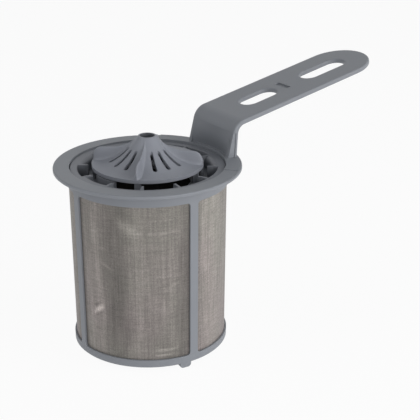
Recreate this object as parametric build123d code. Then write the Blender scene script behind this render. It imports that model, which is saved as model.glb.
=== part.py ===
"""Dishwasher filter with a carrying handle: a moulded cage with a woven steel sleeve, and a
coarse strainer with a slotted dome that sits in the top of the cage.

Frame: Z is the axis of the round body and points up, X points along the handle, and the
origin is on the axis in the plane of the spigot's rim, which the filter stands on.
"""
from build123d import *
from math import asin, cos, degrees, exp, hypot, radians, sin, sqrt, tan
import os

# Overall sizes of the cage
body_height = 92.6
flange_radius = 45.0
flange_thickness = 1.8
flange_edge_round = 0.6
flange_under_bevel = 0.4
flange_overhang = 6.2
wall_top_radius = flange_radius - flange_overhang
wall_draft = 1.1
wall_foot_radius = wall_top_radius - wall_draft

# Seat in the flange that the strainer drops into
seat_wall = 1.5
seat_radius = wall_top_radius - seat_wall
ledge_width = 2.1

# Rings, ribs and windows of the cage
upper_ring_height = 7.7
lower_ring_height = 4.0
rib_angles = (-2.0, 90.6, 178.0, 270.6)
rib_width = 4.4
window_corner_round = 1.6
ring_edge_bevel = 0.6

# Foot of the cage: a floor with the drain opening, a spigot and two locking lugs
spigot_height = 3.0
spigot_inset = 8.3
spigot_radius = wall_foot_radius - spigot_inset
spigot_wall = 2.0
floor_thickness = 2.0
lug_count = 2
lug_angle = 83.5
lug_width = 5.8
lug_depth = 4.0
lug_drop = 2.0
lug_corner_round = 1.6

# Woven sleeve, held in a groove of each ring
sleeve_inset = 0.9
sleeve_thickness = 0.25
sleeve_clearance = 0.05
groove_depth = 2.8

# Handle, in the plane of X and Z, measured from the axis and from the flange's top
handle_half_width = 17.2
riser_outer_inset = 4.6
riser_foot_depth = 5.4
riser_outer_foot = flange_radius - riser_outer_inset
riser_inner_foot = riser_outer_foot - riser_foot_depth
riser_inner_slope = 75.7
riser_outer_slope = 86.2
strap_slope = 11.1
strap_reference_inset = 1.5
strap_reference_level = 18.05
strap_reference = (flange_radius - strap_reference_inset, strap_reference_level)
strap_thickness = 2.5
handle_reach = 88.0
strap_tip = flange_radius + handle_reach
strap_edge_round = 0.9
bend_top_round = 8.0
bend_under_round = 4.5
panel_inset = 2.0
panel_inner_radius = seat_radius + panel_inset
panel_thickness = 2.1
panel_height = 12.2
panel_levels = (0, 4.0, 8.0)
panel_bulge = (0, 0.85, 0.65)
gusset_thickness = 2.5
gusset_inset = 0.35
gusset_rim_depth = 1.6

# Raised pad under the handle
pad_rise = 0.3
pad_half_angle = 49.0

# Cut-outs of the handle
slot_width = 10.6
slot_corner_round = 5.0
first_slot_offset = 10.5
first_slot_start = flange_radius + first_slot_offset
first_slot_length = 20.4
second_slot_offset = 48.6
second_slot_start = flange_radius + second_slot_offset
second_slot_length = 26.4
notch_offset = 34.8
notch_start = flange_radius + notch_offset
notch_length = 2.8
notch_width = 9.6
notch_depth = 0.8

# Coarse strainer: collar, fins, lips and the ring that the dome clips into
collar_clearance = 0.2
collar_recess = 0.8
collar_fall = 0.15
collar_thickness = 2.6
collar_edge_bevel = 0.3
collar_width = 3.8
window_radius = seat_radius - collar_width
skirt_clearance = 0.2
skirt_depth = 8.2
fin_count = 12
fin_angle = 23.0
fin_thickness = 1.1
fin_length = 5.2
fin_inner_radius = window_radius - fin_length
fin_top_round = 0.4
lip_sectors = (3, 5, 10)
lip_roll_radius = 3.0
lip_wall = 1.3
lip_depth = 6.0
lip_fence_gap = 0.4
clip_ring_inset = 0.4
clip_ring_width = 5.7
clip_ring_thickness = 1.6

# Dome: flared cap with folded ridges, slots and four clip legs
dome_gap = 10.7
dome_radius = seat_radius - dome_gap
dome_edge_height = 1.0
dome_edge_thickness = 1.75
dome_wall = 1.4
dome_top_height = 14.1
dome_neck_radius = 4.3
dome_hole_radius = 3.5
dome_flare_power = 2.3
ridge_count = 4
ridge_angle = 46.0
ridge_height = 6.95
ridge_fall_length = 5.4
ridge_nose_length = 3.0
ridge_half_width = 2.6
ridge_neck_half_width = 1.4
ridge_neck_overlap = 0.3
ridge_flank = (0.36, 0.48)
ridge_foot_slope = 0.1
ridge_steps = 5
ridge_step_growth = 1.8
ridge_nose_shares = (0, 0.6, 0.96)
dome_slots_per_sector = 3
dome_slot_pitch = 22.0
dome_slot_inset = 9.0
dome_slot_margin = 5.1
dome_slot_outer_radius = dome_radius - dome_slot_inset
dome_slot_inner_radius = dome_neck_radius + dome_slot_margin
dome_slot_inner_width = 1.4
dome_slot_outer_width = 2.1
leg_inset = 3.4
leg_radius = dome_radius - leg_inset
leg_thickness = 2.4
leg_width = 2.7
tongue_shoulder = 0.5
tongue_clearance = 0.15
hook_reach = 0.9
hook_height = 1.6

# How far a piece reaches into the one it is fused with, and a cutter past a wall
join_depth = 0.6
cut_margin = 1.0

# Levels and radii that follow from the sizes above
flange_underside = body_height - flange_thickness
ledge_level = body_height - collar_recess - collar_thickness
ledge_radius = seat_radius - ledge_width
foot_ledge_radius = ledge_radius - wall_draft
window_top = body_height - upper_ring_height
window_bottom = spigot_height + lower_ring_height
floor_top = spigot_height + floor_thickness
drain_radius = spigot_radius - spigot_wall
clip_ring_outer_radius = dome_radius - clip_ring_inset
clip_ring_inner_radius = clip_ring_outer_radius - clip_ring_width
collar_level = body_height - collar_recess
skirt_level = body_height - skirt_depth
clip_ring_level = skirt_level - clip_ring_thickness


def wall_radius(level):
    """Outer radius of the cage's drafted wall at a level."""
    share = (level - spigot_height) / (flange_underside - spigot_height)
    return wall_foot_radius + wall_draft * share


def sleeve_radius(level):
    """Outer radius of the sleeve, which follows the wall's draft, at a level."""
    return wall_radius(level) - sleeve_inset


def ring(inner_radius, outer_radius, low, high):
    """Flat ring about the axis between two levels."""
    plan = Circle(outer_radius) - Circle(inner_radius)
    return extrude(Pos(0, 0, low) * plan, amount=high - low)


def turned(points):
    """Solid of revolution from an outline of (radius, level) points."""
    outline = Plane.XZ * make_face(Polyline(*points, close=True))
    return revolve(outline, axis=Axis.Z)


def around(piece, count, start_angle=0.0):
    """Copies of a piece, evenly spaced about the axis."""
    return [Rot(0, 0, start_angle + i * 360 / count) * piece for i in range(count)]


def cage_body():
    """Turned form of the cage: spigot, floor, both rings with their grooves, wall and flange."""
    groove_top = window_top + groove_depth
    groove_foot = window_bottom - groove_depth
    cloth = sleeve_thickness + sleeve_clearance
    return turned([
        (drain_radius, 0),
        (spigot_radius, 0),
        (spigot_radius, spigot_height),
        (wall_foot_radius - ring_edge_bevel, spigot_height),
        (wall_radius(spigot_height + ring_edge_bevel), spigot_height + ring_edge_bevel),
        (wall_top_radius, flange_underside),
        (flange_radius - flange_under_bevel, flange_underside),
        (flange_radius, flange_underside + flange_under_bevel),
        (flange_radius, body_height),
        (seat_radius, body_height),
        (seat_radius, ledge_level),
        (ledge_radius, ledge_level),
        (ledge_radius, window_top),
        (sleeve_radius(window_top) - cloth, window_top),
        (sleeve_radius(groove_top) - cloth, groove_top),
        (sleeve_radius(groove_top) + sleeve_clearance, groove_top),
        (sleeve_radius(groove_foot) + sleeve_clearance, groove_foot),
        (sleeve_radius(groove_foot) - cloth, groove_foot),
        (sleeve_radius(window_bottom) - cloth, window_bottom),
        (foot_ledge_radius, window_bottom),
        (foot_ledge_radius, floor_top),
        (drain_radius, floor_top),
    ])


def rounded_flange(body):
    """The cage's body with the flange's top outer edge rounded."""
    top_circles = body.edges().filter_by(GeomType.CIRCLE).group_by(Axis.Z)[-1]
    return fillet(top_circles.sort_by(SortBy.RADIUS)[-1], flange_edge_round)


def cage_window(span):
    """Cutter for one window: a drafted sector of the wall with rounded corners, from X over an angle."""
    outer = wall_top_radius + cut_margin
    outline = Plane.XZ * make_face(Polyline(
        (sleeve_radius(window_bottom), window_bottom), (outer, window_bottom),
        (outer, window_top), (sleeve_radius(window_top), window_top), close=True))
    sector = revolve(outline, axis=Axis.Z, revolution_arc=span)
    corners = [edge for edge in sector.edges().filter_by(GeomType.LINE) if abs(edge.tangent_at(0.5).Z) < 0.1]
    return fillet(corners, window_corner_round)


def cage_windows():
    """One window from each rib to the next."""
    rib_span = 2 * degrees(asin(rib_width / 2 / wall_top_radius))
    next_angles = rib_angles[1:] + (rib_angles[0] + 360,)
    return [
        Rot(0, 0, start + rib_span / 2) * cage_window(end - start - rib_span)
        for start, end in zip(rib_angles, next_angles)
    ]


def locking_lug():
    """One lug below the lower ring, flush with its outside and round below, on the side of X."""
    height = lug_drop + ring_edge_bevel
    face = Plane.YZ * Pos(0, spigot_height - lug_drop + height / 2) * Rectangle(lug_width, height)
    low_corners = face.vertices().sort_by(Axis.Z)[:2]
    face = fillet(low_corners, lug_corner_round)
    inner = wall_foot_radius - lug_depth
    block = extrude(Pos(inner, 0, 0) * face, amount=lug_depth + cut_margin, dir=(1, 0, 0))
    return block & ring(inner, wall_foot_radius, 0, spigot_height + height)


def strap_top_at(distance):
    """Level of the strap's top face above the flange, at a distance from the axis."""
    reference_distance, reference_level = strap_reference
    return reference_level + tan(radians(strap_slope)) * (distance - reference_distance)


def along_strap(distance):
    """Distance from the strap's reference point, measured along its top face."""
    return (distance - strap_reference[0]) / cos(radians(strap_slope))


def on_strap(piece):
    """A piece drawn flat, moved so that its ground plane is the strap's top face."""
    return Pos(strap_reference[0], 0, strap_reference[1]) * Rot(0, -strap_slope, 0) * piece


def crossing(start_a, angle_a, start_b, angle_b):
    """Point where two lines meet, each given by a point and an angle from X."""
    ax, az = start_a
    bx, bz = start_b
    ca, sa = cos(radians(angle_a)), sin(radians(angle_a))
    cb, sb = cos(radians(angle_b)), sin(radians(angle_b))
    run = ((bx - ax) * sb - (bz - az) * cb) / (ca * sb - sa * cb)
    return ax + run * ca, az + run * sa


def handle_profile():
    """Side outline of the riser, the bend and the strap, above the flange's top."""
    strap_drop = strap_thickness / cos(radians(strap_slope))
    under_reference = (strap_reference[0], strap_reference[1] - strap_drop)
    bend_top = crossing((riser_inner_foot, 0), riser_inner_slope, strap_reference, strap_slope)
    bend_under = crossing((riser_outer_foot, 0), riser_outer_slope, under_reference, strap_slope)
    blank_end = strap_tip + cut_margin
    top_end = (blank_end, strap_top_at(blank_end))
    under_end = (blank_end, strap_top_at(blank_end) - strap_drop)
    face = make_face(Polyline(
        (riser_inner_foot, 0), bend_top, top_end, under_end, bend_under, (riser_outer_foot, 0), close=True))
    top_corner = face.vertices().sort_by_distance((*bend_top, 0))[0]
    face = fillet(top_corner, bend_top_round)
    under_corner = face.vertices().sort_by_distance((*bend_under, 0))[0]
    return fillet(under_corner, bend_under_round)


def riser_inner_at(level):
    """Distance of the riser's inner face from the axis at a level above the flange."""
    return riser_inner_foot + level / tan(radians(riser_inner_slope))


def riser_outer_at(level):
    """Distance of the riser's outer face from the axis at a level above the flange."""
    return riser_outer_foot + level / tan(radians(riser_outer_slope))


def panel_section(level, bulge):
    """Section of the panel: an arc that flattens with height, moved inward by its bulge."""
    half = handle_half_width - gusset_thickness + join_depth
    share = level / panel_height
    outer_foot = panel_inner_radius + panel_thickness
    inner_middle = panel_inner_radius + (riser_inner_at(panel_height) - panel_inner_radius) * share - bulge
    outer_middle = outer_foot + (riser_outer_at(panel_height) - outer_foot) * share
    inner_side = inner_middle - (panel_inner_radius - sqrt(panel_inner_radius**2 - half**2)) * (1 - share)
    outer_side = outer_middle - (outer_foot - sqrt(outer_foot**2 - half**2)) * (1 - share)
    return Pos(0, 0, level) * make_face([
        ThreePointArc((inner_side, -half), (inner_middle, 0), (inner_side, half)),
        Line((inner_side, half), (outer_side, half)),
        ThreePointArc((outer_side, half), (outer_middle, 0), (outer_side, -half)),
        Line((outer_side, -half), (inner_side, -half)),
    ])


def riser_panel():
    """Web between the gussets: it follows the flange's circle below and runs into the bend above."""
    half = handle_half_width - gusset_thickness + join_depth
    top = panel_height + join_depth
    inner_top, outer_top = riser_inner_at(top), riser_outer_at(top)
    head = make_face(Polyline(
        (inner_top, -half), (inner_top, half), (outer_top, half), (outer_top, -half), close=True))
    sections = [panel_section(level, bulge) for level, bulge in zip(panel_levels, panel_bulge)]
    return loft(sections + [Pos(0, 0, top) * head])


def handle():
    """Handle with its riser, gussets, panel, slotted strap and rounded tip."""
    width = 2 * handle_half_width
    blade = extrude(Plane.XZ * handle_profile(), amount=handle_half_width, both=True)
    tip_run = along_strap(strap_tip) - handle_half_width
    plan = Rectangle(2 * tip_run, width) + Pos(tip_run, 0) * Circle(handle_half_width)
    blade &= on_strap(extrude(plan, amount=body_height, both=True))
    for start, length in ((first_slot_start, first_slot_length), (second_slot_start, second_slot_length)):
        near, far = along_strap(start), along_strap(start + length)
        opening = Pos((near + far) / 2, 0) * RectangleRounded(far - near, slot_width, slot_corner_round)
        blade -= on_strap(extrude(opening, amount=strap_thickness + cut_margin, both=True))
    first, last = first_slot_start - cut_margin, strap_tip + cut_margin
    blade = fillet(blade.edges().filter_by_position(Axis.X, first, last), strap_edge_round)
    notch_middle = along_strap(notch_start + notch_length / 2)
    blade -= on_strap(Pos(notch_middle, 0, 0) * Box(notch_length, notch_width, 2 * notch_depth))
    hollow = Box(
        flange_radius, width - 2 * gusset_thickness, panel_height,
        align=(Align.MIN, Align.CENTER, Align.MIN))
    blade -= hollow
    inset = make_face(Polyline(
        (0, -cut_margin),
        (riser_outer_at(0) - gusset_rim_depth, -cut_margin),
        (riser_outer_at(panel_height) - gusset_rim_depth, panel_height),
        (0, panel_height),
        close=True))
    for side in (-1, 1):
        step = extrude(Plane.XZ * inset, amount=gusset_inset, both=True)
        blade -= Pos(0, side * handle_half_width, 0) * step
    return Pos(0, 0, body_height) * (blade + riser_panel())


def flange_pad():
    """Raised pad around the foot of the handle, with ends that point to the axis."""
    outer = flange_radius - flange_edge_round
    low, high = body_height - join_depth, body_height + pad_rise
    outline = Plane.XZ * make_face(Polyline(
        (seat_radius, low), (outer, low), (outer, high), (seat_radius, high), close=True))
    return Rot(0, 0, -pad_half_angle) * revolve(outline, axis=Axis.Z, revolution_arc=2 * pad_half_angle)


def filter_cage():
    """Cage in one moulding: body, windows, lugs, pad and handle."""
    body = rounded_flange(cage_body())
    for window in cage_windows():
        body -= window
    for lug in around(locking_lug(), lug_count, lug_angle):
        body += lug
    return body + flange_pad() + handle()


def mesh_sleeve():
    """Rolled sleeve of woven steel cloth between the two grooves."""
    low = window_bottom - groove_depth + sleeve_clearance
    high = window_top + groove_depth - sleeve_clearance
    return turned([
        (sleeve_radius(low) - sleeve_thickness, low),
        (sleeve_radius(low), low),
        (sleeve_radius(high), high),
        (sleeve_radius(high) - sleeve_thickness, high),
    ])


def collar():
    """Turned collar with its skirt, which hangs inside the cage's ledge."""
    collar_radius = seat_radius - collar_clearance
    skirt_radius = ledge_radius - skirt_clearance
    return turned([
        (window_radius, skirt_level),
        (skirt_radius, skirt_level),
        (skirt_radius, ledge_level),
        (collar_radius, ledge_level),
        (collar_radius, collar_level - collar_edge_bevel),
        (collar_radius - collar_edge_bevel, collar_level),
        (window_radius + collar_edge_bevel, collar_level - collar_fall),
        (window_radius, collar_level - collar_fall - collar_edge_bevel),
    ])


def strainer_fin():
    """One radial fin: upright blade, with a foot that carries the clip ring."""
    top = collar_level
    outer = window_radius + join_depth
    foot = clip_ring_outer_radius - join_depth
    face = make_face(Polyline(
        (outer, top - collar_fall),
        (fin_inner_radius, top - collar_fall),
        (fin_inner_radius, skirt_level),
        (foot, skirt_level),
        (foot, clip_ring_level),
        (outer, clip_ring_level + clip_ring_thickness / 2),
        close=True))
    corner = face.vertices().sort_by_distance((fin_inner_radius, top, 0))[0]
    face = fillet(corner, fin_top_round)
    return extrude(Plane.XZ * face, amount=fin_thickness / 2, both=True)


def strainer_lip():
    """Rolled lip of one sector: it turns down inside the collar, and a fence stands under the dome's edge."""
    top = collar_level - collar_fall
    root = window_radius + join_depth
    roll_level = top - lip_roll_radius
    outer_face = window_radius - lip_roll_radius
    inner_face = outer_face + lip_wall
    trough_level = top - lip_depth
    fence_top = body_height + dome_edge_height - dome_edge_thickness - lip_fence_gap
    fence_inner = dome_radius - lip_wall
    roll = Pos(window_radius, roll_level) * (Circle(lip_roll_radius) - Circle(lip_roll_radius - lip_wall))
    quarter = Pos(window_radius - lip_roll_radius / 2, roll_level + lip_roll_radius / 2) * Rectangle(
        lip_roll_radius, lip_roll_radius)
    drop = make_face(Polyline(
        (outer_face, roll_level),
        (outer_face, trough_level),
        (dome_radius, trough_level),
        (dome_radius, fence_top),
        (fence_inner, fence_top),
        (fence_inner, trough_level - lip_wall),
        (inner_face, trough_level - lip_wall),
        (inner_face, roll_level),
        close=True))
    shelf = make_face(Polyline(
        (window_radius, top),
        (root, top),
        (root, top - lip_wall),
        (window_radius, top - lip_wall),
        close=True))
    face = (roll & quarter) + drop + shelf
    return revolve(Plane.XZ * face, axis=Axis.Z, revolution_arc=360 / fin_count)


def leg_tongue(extra):
    """Clip tongue under a leg, larger all round by an amount, on the side of X."""
    thickness = leg_thickness - 2 * tongue_shoulder + 2 * extra
    width = leg_width - 2 * tongue_shoulder + 2 * extra
    low = clip_ring_level - hook_height
    return Pos(leg_radius, 0, (low + skirt_level) / 2) * Box(thickness, width, skirt_level - low)


def coarse_strainer():
    """Coarse strainer in one moulding: collar, fins, lips and the clip ring."""
    body = collar()
    for fin in around(strainer_fin(), fin_count, fin_angle):
        body += fin
    for sector in lip_sectors:
        body += Rot(0, 0, fin_angle + sector * 360 / fin_count) * strainer_lip()
    body += ring(clip_ring_inner_radius, clip_ring_outer_radius, clip_ring_level, skirt_level)
    for socket in around(leg_tongue(tongue_clearance), ridge_count, ridge_angle):
        body -= socket
    return body


def flare_level(radius):
    """Level of the dome's top face above the flange at a radius: steep at the neck, flat at the edge."""
    share = (radius - dome_neck_radius) / (dome_radius - dome_neck_radius)
    rise = max(0.0, 1 - share) ** dome_flare_power
    return dome_edge_height + (dome_top_height - dome_edge_height) * rise


def flare_slope(radius):
    """Slope of the dome's top face at a radius."""
    span = dome_radius - dome_neck_radius
    drop = dome_top_height - dome_edge_height
    share = (radius - dome_neck_radius) / span
    return -dome_flare_power * drop / span * (1 - share) ** (dome_flare_power - 1)


def dome_shell():
    """Turned shell of the dome, dome_wall thick, with a square edge and a lip round the hole."""
    steps = 8
    radii = [dome_neck_radius + (dome_radius - dome_neck_radius) * i / steps for i in range(steps + 1)]
    top_points = [(radius, flare_level(radius)) for radius in radii]
    under_points = []
    for radius, level in top_points[:-1]:
        slope = flare_slope(radius)
        length = hypot(1, slope)
        point = (radius + dome_wall * slope / length, level - dome_wall / length)
        if point[0] > dome_hole_radius + dome_wall / 4:
            under_points.append(point)
    rim_under = (dome_radius, dome_edge_height - dome_edge_thickness)
    hole_under = (dome_hole_radius, under_points[0][1] + dome_wall)
    face = make_face([
        Spline(*top_points),
        Line(top_points[-1], rim_under),
        Spline(hole_under, *under_points, rim_under),
        Line(hole_under, (dome_hole_radius, dome_top_height)),
        Line((dome_hole_radius, dome_top_height), top_points[0]),
    ])
    return revolve(Plane.XZ * face, axis=Axis.Z)


def nose_share(radius):
    """How much of its full size a ridge has at a radius: one, then falling as an ellipse in the nose."""
    along = (radius - (dome_radius - ridge_nose_length)) / ridge_nose_length
    return sqrt(max(0.0, 1 - max(0.0, along) ** 2))


def ridge_section(radius):
    """Bell-shaped section of a ridge, upright across the ridge at a radius."""
    fall = exp(-(radius - dome_neck_radius) / ridge_fall_length)
    full_crest = ridge_height + (dome_top_height - ridge_height) * fall
    crest = dome_edge_height + (full_crest - dome_edge_height) * nose_share(radius)
    full_width = ridge_half_width + (ridge_neck_half_width - ridge_half_width) * fall
    half_width = full_width * nose_share(radius)
    sink = dome_wall / 2
    base = flare_level(hypot(radius, half_width)) - sink / 4
    flank_across = half_width * ridge_flank[0]
    flank_level = base + (crest - base) * ridge_flank[1]
    face = make_face([
        Spline(
            (-half_width, base), (-flank_across, flank_level), (0, crest), (flank_across, flank_level),
            (half_width, base), tangents=((1, ridge_foot_slope), (1, -ridge_foot_slope))),
        Line((half_width, base), (half_width, base - sink)),
        Line((half_width, base - sink), (-half_width, base - sink)),
        Line((-half_width, base - sink), (-half_width, base)),
    ])
    return Plane((radius, 0, 0), x_dir=(0, 1, 0), z_dir=(1, 0, 0)) * face


def dome_ridge():
    """One folded ridge from the neck out to its rounded nose at the edge."""
    first = dome_neck_radius + ridge_neck_overlap
    nose_start = dome_radius - ridge_nose_length
    shares = [(i / ridge_steps) ** ridge_step_growth for i in range(ridge_steps)]
    radii = [first + (nose_start - first) * share for share in shares]
    radii += [nose_start + ridge_nose_length * share for share in ridge_nose_shares]
    return loft([ridge_section(radius) for radius in radii])


def dome_slot():
    """Cutter for one tapered slot of the dome, on the side of X."""
    inner, outer = dome_slot_inner_width / 2, dome_slot_outer_width / 2
    plan = Pos(dome_slot_inner_radius, 0) * Circle(inner) + Pos(dome_slot_outer_radius, 0) * Circle(outer)
    plan += make_face(Polyline(
        (dome_slot_inner_radius, -inner), (dome_slot_outer_radius, -outer),
        (dome_slot_outer_radius, outer), (dome_slot_inner_radius, inner), close=True))
    return extrude(plan, amount=dome_top_height)


def dome_leg():
    """One clip leg under a ridge: post, tongue and hook."""
    shoulder_level = skirt_level - body_height
    top = flare_level(leg_radius)
    middle = (shoulder_level + top) / 2
    post = Pos(leg_radius, 0, middle) * Box(leg_thickness, leg_width, top - shoulder_level)
    tongue = Pos(0, 0, -body_height) * leg_tongue(0)
    tongue_outer = leg_radius + leg_thickness / 2 - tongue_shoulder
    hook_top = clip_ring_level - body_height - tongue_clearance
    hook_low = clip_ring_level - body_height - hook_height
    barb = make_face(Polyline(
        (tongue_outer - join_depth, hook_low),
        (tongue_outer, hook_low),
        (tongue_outer + hook_reach, hook_top),
        (tongue_outer - join_depth, hook_top),
        close=True))
    hook = extrude(Plane.XZ * barb, amount=leg_width / 2 - tongue_shoulder, both=True)
    return post + tongue + hook


def dome_cap():
    """Dome in one moulding: flared shell, ridges, slots and legs."""
    body = dome_shell()
    for ridge in around(dome_ridge(), ridge_count, ridge_angle):
        body += ridge
    bore = extrude(Circle(dome_hole_radius), amount=2 * dome_top_height)
    body -= bore
    sector = 360 / ridge_count
    for i in range(dome_slots_per_sector):
        offset = (i - (dome_slots_per_sector - 1) / 2) * dome_slot_pitch
        for slot in around(dome_slot(), ridge_count, ridge_angle + sector / 2 + offset):
            body -= slot
    for leg in around(dome_leg(), ridge_count, ridge_angle):
        body += leg
    return Pos(0, 0, body_height) * body


pieces = {
    "filter_cage": filter_cage(),
    "mesh_sleeve": mesh_sleeve(),
    "coarse_strainer": coarse_strainer(),
    "dome_cap": dome_cap(),
}

os.makedirs("parts", exist_ok=True)
for name, piece in pieces.items():
    export_step(piece, f"parts/{name}.step")
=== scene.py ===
import math

import bpy
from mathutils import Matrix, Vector


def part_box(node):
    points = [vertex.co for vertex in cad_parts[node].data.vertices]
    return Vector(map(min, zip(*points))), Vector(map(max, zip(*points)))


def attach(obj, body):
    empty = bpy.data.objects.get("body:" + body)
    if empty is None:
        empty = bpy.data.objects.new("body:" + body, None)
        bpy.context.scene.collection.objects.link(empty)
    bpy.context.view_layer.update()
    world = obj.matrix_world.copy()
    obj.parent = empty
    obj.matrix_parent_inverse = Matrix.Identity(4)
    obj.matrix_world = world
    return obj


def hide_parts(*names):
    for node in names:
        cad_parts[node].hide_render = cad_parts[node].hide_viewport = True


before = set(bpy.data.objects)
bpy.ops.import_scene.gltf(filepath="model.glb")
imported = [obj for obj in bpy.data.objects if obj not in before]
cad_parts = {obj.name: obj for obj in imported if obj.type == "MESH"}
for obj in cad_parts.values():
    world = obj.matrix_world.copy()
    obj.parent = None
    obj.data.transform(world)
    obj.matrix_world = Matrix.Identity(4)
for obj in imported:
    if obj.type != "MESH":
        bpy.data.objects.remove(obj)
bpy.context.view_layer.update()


# Cage
# The cage is one moulding of grey polypropylene: flange, handle, ribs, rings and spigot.
# It came from the mould with a satin skin, so every edge is slightly soft and none is bright.
cage_colour = (0.235, 0.247, 0.270, 1)
plastic_roughness = 0.52
plastic_edge_softness = 0.00035
mottle_scale = 70
mottle_detail = 5
mottle_tint = 0.06
mottle_gloss = 0.06
grain_scale = 2600
grain_detail = 2
grain_strength = 0.12
grain_depth = 0.00004


def between(tree, value, low, high, value_low=0, value_high=1):
    """A value from value_low to value_high, turned into one from low to high."""
    step = tree.nodes.new("ShaderNodeMapRange")
    step.inputs["From Min"].default_value = value_low
    step.inputs["From Max"].default_value = value_high
    step.inputs["To Min"].default_value = low
    step.inputs["To Max"].default_value = high
    tree.links.new(value, step.inputs["Value"])
    return step.outputs["Result"]


def noise_at(tree, place, scale, detail):
    """Noise with the same scale along every axis."""
    noise = tree.nodes.new("ShaderNodeTexNoise")
    noise.inputs["Scale"].default_value = scale
    noise.inputs["Detail"].default_value = detail
    tree.links.new(place, noise.inputs["Vector"])
    return noise.outputs["Fac"]


def mixed_colour(tree, share, first, second):
    """A colour between two others."""
    mix = tree.nodes.new("ShaderNodeMix")
    mix.data_type = "RGBA"
    mix.inputs["A"].default_value = first
    mix.inputs["B"].default_value = second
    tree.links.new(share, mix.inputs["Factor"])
    return mix.outputs["Result"]


def moulded_plastic(name, colour):
    """Grey moulded plastic: faint mottling, a fine satin grain and soft edges."""
    material = bpy.data.materials.new(name)
    material.use_nodes = True
    tree = material.node_tree
    shader = tree.nodes["Principled BSDF"]
    place = tree.nodes.new("ShaderNodeTexCoord").outputs["Object"]

    mottle = noise_at(tree, place, mottle_scale, mottle_detail)
    darker = [(1 - mottle_tint) * part for part in colour[:3]] + [1]
    lighter = [(1 + mottle_tint) * part for part in colour[:3]] + [1]
    tree.links.new(mixed_colour(tree, mottle, darker, lighter), shader.inputs["Base Color"])
    gloss = between(tree, mottle, plastic_roughness - mottle_gloss, plastic_roughness + mottle_gloss)
    tree.links.new(gloss, shader.inputs["Roughness"])

    soft_edge = tree.nodes.new("ShaderNodeBevel")
    soft_edge.inputs["Radius"].default_value = plastic_edge_softness
    bump = tree.nodes.new("ShaderNodeBump")
    bump.inputs["Strength"].default_value = grain_strength
    bump.inputs["Distance"].default_value = grain_depth
    tree.links.new(noise_at(tree, place, grain_scale, grain_detail), bump.inputs["Height"])
    tree.links.new(soft_edge.outputs["Normal"], bump.inputs["Normal"])
    tree.links.new(bump.outputs["Normal"], shader.inputs["Normal"])
    return material


def dress(node_name, material):
    """Puts a material on a CAD node, in place of the one it was packed with."""
    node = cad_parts[node_name]
    node.data.materials.clear()
    node.data.materials.append(material)


dress("filter_cage", moulded_plastic("cage_plastic", cage_colour))


# Sleeve
# The sleeve is fine stainless steel cloth, rolled and moulded into both rings of the cage.
# It is slightly slack between the ribs, with the puckers and streaks that rolling leaves, and painted
# highlights and painted shade on its puckers.
sleeve_low, sleeve_high = (Vector(corner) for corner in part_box("mesh_sleeve"))
sleeve_top_radius = sleeve_high.x
sleeve_draft = 0.0125
sleeve_height = sleeve_high.z - sleeve_low.z
seam_angle = -2.0
seam_gap = 0.00001
cloth_thickness = 0.00025
cloth_columns = 280
cloth_rows = 158

# The rings hold each end of the cloth over held_height, and it comes free of them over the next
# loosening_height
held_height = 0.0028
loosening_height = 0.004

# The slack changes in waves round the cloth, each with its number in a turn and its share of it
cloth_slack = 0.00012
mean_slack_share = 0.5
slack_waves = ((7, 0.3), (17, 0.2))

# Puckers: angle in degrees, level, half width in degrees, half height, rise per degree, height
puckers = (
    (197, 0.0300, 4.4, 0.0014, 0.00040, 0.00035),
    (224, 0.0740, 6.0, 0.0016, -0.00018, 0.00016),
    (243, 0.0105, 11.0, 0.0010, 0.0, 0.00022),
    (287, 0.0560, 3.0, 0.0090, 0.0, 0.00012),
    (62, 0.0420, 4.0, 0.0060, 0.00030, 0.00025),
    (121, 0.0650, 7.0, 0.0015, 0.00010, 0.00020),
)
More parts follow.
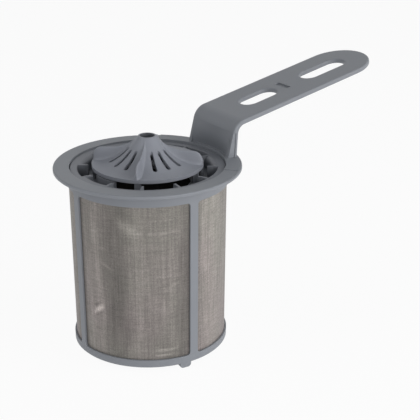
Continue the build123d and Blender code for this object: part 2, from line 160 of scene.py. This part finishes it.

# Brighter and darker marks: angle, level, half width in degrees, half height, rise per degree, strength.
# Most are the cloth's own streaks and threads, but the bright and dark pairs on the puckers are painted
# highlights and painted shade, the thin bright rows near the bottom are painted highlights, and the broad
# bright mark on the panel at the right is painted light where the right lamp falls.
cloth_tone_and_painted_light = (
    (196, 0.0690, 3.2, 0.0260, 0.0, 0.22),
    (199, 0.0420, 3.6, 0.0120, -0.0012, 0.30),
    (197, 0.0300, 4.2, 0.0013, 0.00040, 1.30),
    (199, 0.0318, 3.0, 0.0012, 0.00040, 0.50),
    (196, 0.0328, 3.0, 0.0007, 0.00040, -0.30),
    (197, 0.0278, 4.0, 0.0006, 0.00040, -0.24),
    (222, 0.0745, 7.0, 0.0026, -0.00030, 0.46),
    (226, 0.0715, 4.0, 0.0030, -0.00030, 0.20),
    (213, 0.0620, 10.0, 0.0360, 0.0, -0.23),
    (214, 0.0230, 9.0, 0.0240, 0.0, -0.17),
    (187, 0.0760, 3.5, 0.0200, 0.0, -0.14),
    (188, 0.0380, 5.0, 0.0500, 0.0, 0.20),
    (197, 0.0160, 8.0, 0.0200, 0.0, 0.17),
    (220.5, 0.0600, 0.6, 0.0200, 0.0, 0.14),
    (223.5, 0.0480, 1.0, 0.0260, 0.0, 0.20),
    (226, 0.0300, 0.5, 0.0200, 0.0, 0.20),
    (228.5, 0.0500, 1.1, 0.0340, 0.0, 0.22),
    (229.5, 0.0600, 6.0, 0.0250, 0.0, 0.07),
    (230.5, 0.0250, 0.5, 0.0180, 0.0, 0.18),
    (232.5, 0.0460, 1.0, 0.0360, 0.0, 0.18),
    (234.8, 0.0560, 0.5, 0.0160, 0.0, 0.18),
    (237, 0.0380, 1.0, 0.0200, 0.0, 0.16),
    (240, 0.0540, 0.5, 0.0220, 0.0, 0.14),
    (243, 0.0420, 0.8, 0.0180, 0.0, 0.14),
    (248, 0.0460, 1.0, 0.0240, 0.0, 0.18),
    (253, 0.0550, 1.0, 0.0300, 0.0, 0.16),
    (256, 0.0455, 4.0, 0.0009, 0.0002, 0.34),
    (251, 0.0435, 3.0, 0.0016, 0.0, 0.16),
    (264, 0.0350, 5.6, 0.0600, 0.0, -0.22),
    (220, 0.0830, 5.0, 0.0060, 0.0, -0.14),
    (231, 0.0716, 3.0, 0.0006, 0.0, 0.36),
    (239, 0.0715, 3.5, 0.0006, 0.0, 0.36),
    (248, 0.0717, 3.5, 0.0006, 0.0, 0.42),
    (256, 0.0722, 3.0, 0.0006, 0.0, 0.30),
    (252, 0.0500, 9.0, 0.0006, 0.0, 0.26),
    (206, 0.0535, 5.0, 0.0006, -0.0003, 0.34),
    (196, 0.0700, 3.0, 0.0006, 0.0, 0.30),
    (203, 0.0620, 4.0, 0.0005, 0.0, 0.18),
    (241, 0.0625, 9.0, 0.0005, 0.0, -0.14),
    (249, 0.0120, 7.0, 0.0006, 0.0, 0.66),
    (247, 0.0092, 6.0, 0.0006, 0.0, 0.60),
    (232, 0.0124, 2.5, 0.0006, 0.0, 0.24),
    (259, 0.0080, 4.0, 0.0060, 0.0, -0.16),
    (225, 0.0110, 5.0, 0.0040, 0.0, 0.16),
    (290, 0.0400, 13.0, 0.0900, 0.0, 0.42),
    (290, 0.0600, 4.5, 0.0300, 0.0, 0.10),
    (286, 0.0160, 4.0, 0.0120, 0.0, 0.14),
    (281, 0.0760, 3.0, 0.0070, 0.0, 0.20),
    (290, 0.0840, 4.0, 0.0050, 0.0, 0.20),
    (280, 0.0620, 3.0, 0.0120, 0.0, 0.16),
    (285, 0.0640, 2.5, 0.0080, 0.0, 0.12),
    (308, 0.0350, 6.0, 0.0450, 0.0, 0.22),
    (20, 0.0450, 1.4, 0.0300, 0.0, 0.10),
    (33, 0.0450, 6.0, 0.0350, 0.0, -0.09),
    (50, 0.0380, 1.2, 0.0280, 0.0, 0.12),
    (74, 0.0520, 5.0, 0.0006, 0.0, 0.14),
    (110, 0.0480, 1.2, 0.0300, 0.0, 0.12),
    (128, 0.0400, 7.0, 0.0250, 0.0, -0.10),
    (146, 0.0560, 1.4, 0.0240, 0.0, 0.10),
)

# Threads: how many there are round the cloth and up it, and how much their lines waver.
# A wave texture has one band across the whole cloth at the scale of one_band.
threads_round = 780
threads_up = 278
thread_waver = 1.5
waver_detail = 1
one_band = math.pi / 10
gap_brightness = 0.72
thread_brightness = 1.10
gap_roughness = 0.62
thread_roughness = 0.46
thread_relief = 0.25
thread_depth = 0.00005

# Uneven brightness: scale of the noise along each axis, and the least and the greatest share.
# The noise itself is nearly all between noise_low and noise_high.
streaks_up = ((1200, 1200, 50), 0.80, 1.20)
streaks_round = ((160, 160, 1700), 0.86, 1.14)
speckle = ((1900, 1900, 1900), 0.74, 1.26)
patches = ((110, 110, 90), 0.92, 1.08)
noise_detail = 3
noise_low = 0.25
noise_high = 0.75

# The steel drifts between two hues in patches, with more mauve towards the bottom
steel_olive = (0.213, 0.204, 0.181, 1)
steel_mauve = (0.230, 0.2015, 0.193, 1)
hue_patches = ((45, 45, 28), 0, 1)
mauve_at_bottom = 1.45
mauve_at_top = 0.6

# The steel is half matt, and the inside of the sleeve gets painted shade
steel_metallic = 0.45
steel_anisotropy = 0.3
steel_inner_painted_shade = 0.12


def mark_at(angle, level, mark):
    """How strongly a mark acts at an angle and a level: in full in its middle, and less around it."""
    middle, middle_level, half_width, half_height, rise, strength = mark
    across = (angle - middle + 180) % 360 - 180
    along = level - middle_level - rise * across
    return strength * math.exp(-(across / half_width) ** 4 - (along / half_height) ** 2)


# A flat grid, one unit wide and high around its middle, is rolled up into the sleeve
bpy.ops.object.select_all(action="DESELECT")
bpy.ops.mesh.primitive_grid_add(x_subdivisions=cloth_columns, y_subdivisions=cloth_rows, size=1)
sleeve = bpy.context.object
sleeve.name = "woven_sleeve"
tone_and_painted_light = sleeve.data.attributes.new("tone_and_painted_light", "FLOAT", "POINT")
for vertex in sleeve.data.vertices:
    turn = seam_angle + 360 * (vertex.co.x + 0.5)
    level = sleeve_low.z + sleeve_height * (vertex.co.y + 0.5)
    from_end = min(level - sleeve_low.z, sleeve_high.z - level)
    freedom = min(1.0, max(0.0, (from_end - held_height) / loosening_height))
    waves = sum(share * math.sin(math.radians(number * turn)) for number, share in slack_waves)
    slack = cloth_slack * (mean_slack_share + waves)
    lift = sum(mark_at(turn, level, pucker) for pucker in puckers)
    radius = sleeve_top_radius - sleeve_draft * (sleeve_high.z - level) + freedom * (lift - slack)
    # Each point's tone carries the marks, painted highlights and painted shade among them
    tone_and_painted_light.data[vertex.index].value = 1 + sum(mark_at(turn, level, mark) for mark in cloth_tone_and_painted_light)
    vertex.co = (radius * math.cos(math.radians(turn)), radius * math.sin(math.radians(turn)), level)

# Its two edges are joined at the seam, and its thickness goes inwards
bpy.ops.object.mode_set(mode="EDIT")
bpy.ops.mesh.select_all(action="SELECT")
bpy.ops.mesh.remove_doubles(threshold=seam_gap)
bpy.ops.object.mode_set(mode="OBJECT")
bpy.ops.object.shade_smooth()
cloth = sleeve.modifiers.new("cloth_thickness", "SOLIDIFY")
cloth.thickness = cloth_thickness
cloth.offset = -1
bpy.ops.object.modifier_apply(modifier="cloth_thickness")


def calculated(tree, operation, first, second):
    """One operation on two values, each of them a node's output or a plain number."""
    step = tree.nodes.new("ShaderNodeMath")
    step.operation = operation
    for value, socket in zip((first, second), step.inputs):
        if isinstance(value, bpy.types.NodeSocket):
            tree.links.new(value, socket)
        else:
            socket.default_value = value
    return step.outputs["Value"]


def scaled_colour(tree, colour, share):
    """A colour made darker or lighter by a share."""
    step = tree.nodes.new("ShaderNodeVectorMath")
    step.operation = "SCALE"
    tree.links.new(colour, step.inputs[0])
    tree.links.new(share, step.inputs["Scale"])
    return step.outputs["Vector"]


def stretched_noise(tree, place, scale, low, high):
    """Noise with a scale of its own along each axis, between two values."""
    stretch = tree.nodes.new("ShaderNodeMapping")
    stretch.inputs["Scale"].default_value = scale
    tree.links.new(place, stretch.inputs["Vector"])
    noise = noise_at(tree, stretch.outputs["Vector"], 1, noise_detail)
    return between(tree, noise, low, high, noise_low, noise_high)


def thread_bands(tree, flat_place, direction, threads):
    """Bright and dark bands of the threads that run one way."""
    bands = tree.nodes.new("ShaderNodeTexWave")
    bands.wave_type = "BANDS"
    bands.bands_direction = direction
    bands.inputs["Scale"].default_value = threads * one_band
    bands.inputs["Distortion"].default_value = thread_waver
    bands.inputs["Detail"].default_value = waver_detail
    tree.links.new(flat_place, bands.inputs["Vector"])
    return bands.outputs["Fac"]


def woven_steel(name):
    """Fine steel cloth: threads both ways, streaks and marks with painted highlights and painted shade
    among them, a drifting hue, and painted shade on the inside.
    """
    material = bpy.data.materials.new(name)
    material.use_nodes = True
    tree = material.node_tree
    shader = tree.nodes["Principled BSDF"]
    shader.inputs["Metallic"].default_value = steel_metallic
    shader.inputs["Anisotropic"].default_value = steel_anisotropy
    coordinates = tree.nodes.new("ShaderNodeTexCoord")
    place = coordinates.outputs["Object"]
    flat_place = coordinates.outputs["UV"]

    upright_threads = thread_bands(tree, flat_place, "X", threads_round)
    level_threads = thread_bands(tree, flat_place, "Y", threads_up)
    threads = calculated(tree, "MAXIMUM", upright_threads, level_threads)
    brightness = between(tree, threads, gap_brightness, thread_brightness)
    # The marks scale the brightness, and carry painted highlights and painted shade
    marks = tree.nodes.new("ShaderNodeAttribute")
    marks.attribute_name = "tone_and_painted_light"
    brightness = calculated(tree, "MULTIPLY", brightness, marks.outputs["Fac"])
    for scale, low, high in (streaks_up, streaks_round, speckle, patches):
        layer = stretched_noise(tree, place, scale, low, high)
        brightness = calculated(tree, "MULTIPLY", brightness, layer)

    # Painted shade: where the surface faces the axis, on the inside of the sleeve, the colour is made
    # darker by a fixed share
    outward = tree.nodes.new("ShaderNodeVectorMath")
    outward.operation = "DOT_PRODUCT"
    tree.links.new(place, outward.inputs[0])
    tree.links.new(coordinates.outputs["Normal"], outward.inputs[1])
    outer_side = calculated(tree, "GREATER_THAN", outward.outputs["Value"], 0)
    shade = between(tree, outer_side, steel_inner_painted_shade, 1)
    brightness = calculated(tree, "MULTIPLY", brightness, shade)

    position = tree.nodes.new("ShaderNodeSeparateXYZ")
    tree.links.new(flat_place, position.inputs["Vector"])
    drift = between(tree, position.outputs["Y"], mauve_at_bottom, mauve_at_top)
    mauve_share = calculated(tree, "MULTIPLY", stretched_noise(tree, place, *hue_patches), drift)
    hue = mixed_colour(tree, mauve_share, steel_olive, steel_mauve)
    tree.links.new(scaled_colour(tree, hue, brightness), shader.inputs["Base Color"])

    roughness = between(tree, threads, gap_roughness, thread_roughness)
    tree.links.new(roughness, shader.inputs["Roughness"])
    relief = tree.nodes.new("ShaderNodeBump")
    relief.inputs["Strength"].default_value = thread_relief
    relief.inputs["Distance"].default_value = thread_depth
    tree.links.new(threads, relief.inputs["Height"])
    tree.links.new(relief.outputs["Normal"], shader.inputs["Normal"])
    return material


sleeve.data.materials.append(woven_steel("steel_cloth"))
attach(sleeve, "root")
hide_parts("mesh_sleeve")


# Coarse strainer
# The coarse strainer is a second grey moulding that drops into the flange.
# Its collar, fins and rolled lips hold back the larger scraps.
# Its grey is darker than the cage's: painted shade for the collar and fins that lie under the dome
strainer_painted_shade_colour = (0.172, 0.180, 0.201, 1)
dress("coarse_strainer", moulded_plastic("strainer_plastic", strainer_painted_shade_colour))


# Dome
# The dome is a third grey moulding with folded ridges, which clips into the strainer.
# Its surface is as satin as the cage, and darker on the wall of the small hole at its top, which is
# painted shade.
dome_colour = (0.262, 0.274, 0.310, 1)
hole_shade_reach = 0.0036
hole_shade_share = 0.45


def paint_hole_shade(material):
    """Makes a material darker near the upright axis, within the reach set above, as painted shade on the
    wall of the dome's small top hole.
    """
    tree = material.node_tree
    base_colour = tree.nodes["Principled BSDF"].inputs["Base Color"]
    plain_colour = base_colour.links[0].from_socket
    place = tree.nodes.new("ShaderNodeTexCoord")
    flattened = tree.nodes.new("ShaderNodeVectorMath")
    flattened.operation = "MULTIPLY"
    flattened.inputs[1].default_value = (1, 1, 0)
    tree.links.new(place.outputs["Object"], flattened.inputs[0])
    from_axis = tree.nodes.new("ShaderNodeVectorMath")
    from_axis.operation = "LENGTH"
    tree.links.new(flattened.outputs["Vector"], from_axis.inputs[0])
    outside = calculated(tree, "GREATER_THAN", from_axis.outputs["Value"], hole_shade_reach)
    shade = between(tree, outside, hole_shade_share, 1)
    tree.links.new(scaled_colour(tree, plain_colour, shade), base_colour)


dome_plastic = moulded_plastic("dome_plastic", dome_colour)
paint_hole_shade(dome_plastic)
dress("dome_cap", dome_plastic)


# Studio floor and background
# The object stands on a plain pale sheet, which runs out to white on every side.
# The sheet throws some light back up, and the camera sees it white with a faint shadow.
floor_size = 12
floor_shadow_share = 0.06
table_strength = 0.34
table_colour = (0.85, 0.85, 0.87, 1)
seen_table_colour = (0.9, 0.9, 0.9, 1)
room_colour = (0.9, 0.95, 1.0, 1)
room_strength = 0.16
white = (1, 1, 1, 1)

bpy.ops.object.select_all(action="DESELECT")
bpy.ops.mesh.primitive_plane_add(size=floor_size, location=(0, 0, 0))
floor = bpy.context.object
floor.name = "studio_floor"


def seen_directly(tree):
    """A value of one for rays from the camera, a mirror or glass, and zero for all others."""
    path = tree.nodes.new("ShaderNodeLightPath")
    seen = calculated(tree, "MAXIMUM", path.outputs["Is Camera Ray"], path.outputs["Is Glossy Ray"])
    return calculated(tree, "MAXIMUM", seen, path.outputs["Is Transmission Ray"])


def mixed_shader(tree, share, first, second):
    """A shader between two others, by a share that is a node's output or a plain number."""
    mix = tree.nodes.new("ShaderNodeMixShader")
    if isinstance(share, bpy.types.NodeSocket):
        tree.links.new(share, mix.inputs["Fac"])
    else:
        mix.inputs["Fac"].default_value = share
    tree.links.new(first, mix.inputs[1])
    tree.links.new(second, mix.inputs[2])
    return mix.outputs["Shader"]


def diffuse_paper(tree, colour):
    """Matt paper of one colour."""
    paper = tree.nodes.new("ShaderNodeBsdfDiffuse")
    paper.inputs["Color"].default_value = colour
    return paper.outputs["BSDF"]


floor_paint = bpy.data.materials.new("studio_paper")
floor_paint.use_nodes = True
floor_tree = floor_paint.node_tree
floor_tree.nodes.remove(floor_tree.nodes["Principled BSDF"])
table_light = floor_tree.nodes.new("ShaderNodeEmission")
table_light.inputs["Strength"].default_value = table_strength
lit_table = floor_tree.nodes.new("ShaderNodeAddShader")
floor_tree.links.new(diffuse_paper(floor_tree, table_colour), lit_table.inputs[0])
floor_tree.links.new(table_light.outputs["Emission"], lit_table.inputs[1])
glow = floor_tree.nodes.new("ShaderNodeEmission")
shaded_paper = diffuse_paper(floor_tree, seen_table_colour)
seen_table = mixed_shader(floor_tree, floor_shadow_share, glow.outputs["Emission"], shaded_paper)
table = mixed_shader(floor_tree, seen_directly(floor_tree), lit_table.outputs["Shader"], seen_table)
floor_tree.links.new(table, floor_tree.nodes["Material Output"].inputs["Surface"])
floor.data.materials.append(floor_paint)

room = bpy.data.worlds.new("studio_room")
bpy.context.scene.world = room
room.use_nodes = True
room_tree = room.node_tree
room_light = room_tree.nodes["Background"]
room_light.inputs["Color"].default_value = room_colour
room_light.inputs["Strength"].default_value = room_strength
room_white = room_tree.nodes.new("ShaderNodeBackground")
room_white.inputs["Color"].default_value = white
whole_room = mixed_shader(
    room_tree, seen_directly(room_tree), room_light.outputs["Background"], room_white.outputs["Background"]
)
room_tree.links.new(whole_room, room_tree.nodes["World Output"].inputs["Surface"])


# Lamps
# Four large soft boxes stand at the left, around the camera and at the right, where the light is
# strongest. The rest comes from the pale room and back from the table.
body_middle = Vector((0, 0, 0.06))


def soft_box(name, place, size, watts):
    """A square soft box aimed at the middle of the body."""
    lamp = bpy.data.lights.new(name, "AREA")
    lamp.size = size
    lamp.energy = watts
    holder = bpy.data.objects.new(name, lamp)
    bpy.context.scene.collection.objects.link(holder)
    holder.location = place
    holder.rotation_euler = (body_middle - Vector(place)).to_track_quat("-Z", "Y").to_euler()


soft_box("front_right_box", place=(0.15, -1.05, 0.25), size=0.7, watts=3.3)
soft_box("front_box", place=(-0.5, -1.0, 0.18), size=0.7, watts=1.9)
soft_box("right_box", place=(0.75, -0.95, 0.70), size=0.8, watts=6.6)
soft_box("left_box", place=(-0.8, 0.2, 0.78), size=0.7, watts=2.4)


# Camera
# The camera looks down at the filter with the handle pointing away to the right.
# Its place and turn were fitted to the rings and the handle in the photograph.
lens_mm = 102.33
sensor_mm = 36.0
nearest_seen = 0.01
camera_place = (-0.2859, -0.4561, 0.2793)
degrees_down = 21.387
degrees_round = -35.242

camera_data = bpy.data.cameras.new("camera")
camera_data.lens = lens_mm
camera_data.sensor_width = sensor_mm
camera_data.clip_start = nearest_seen
camera = bpy.data.objects.new("camera", camera_data)
bpy.context.scene.collection.objects.link(camera)
camera.location = camera_place
camera.rotation_euler = (math.radians(90 - degrees_down), 0, math.radians(degrees_round))
bpy.context.scene.camera = camera
bpy.context.scene.view_settings.view_transform = "Standard"
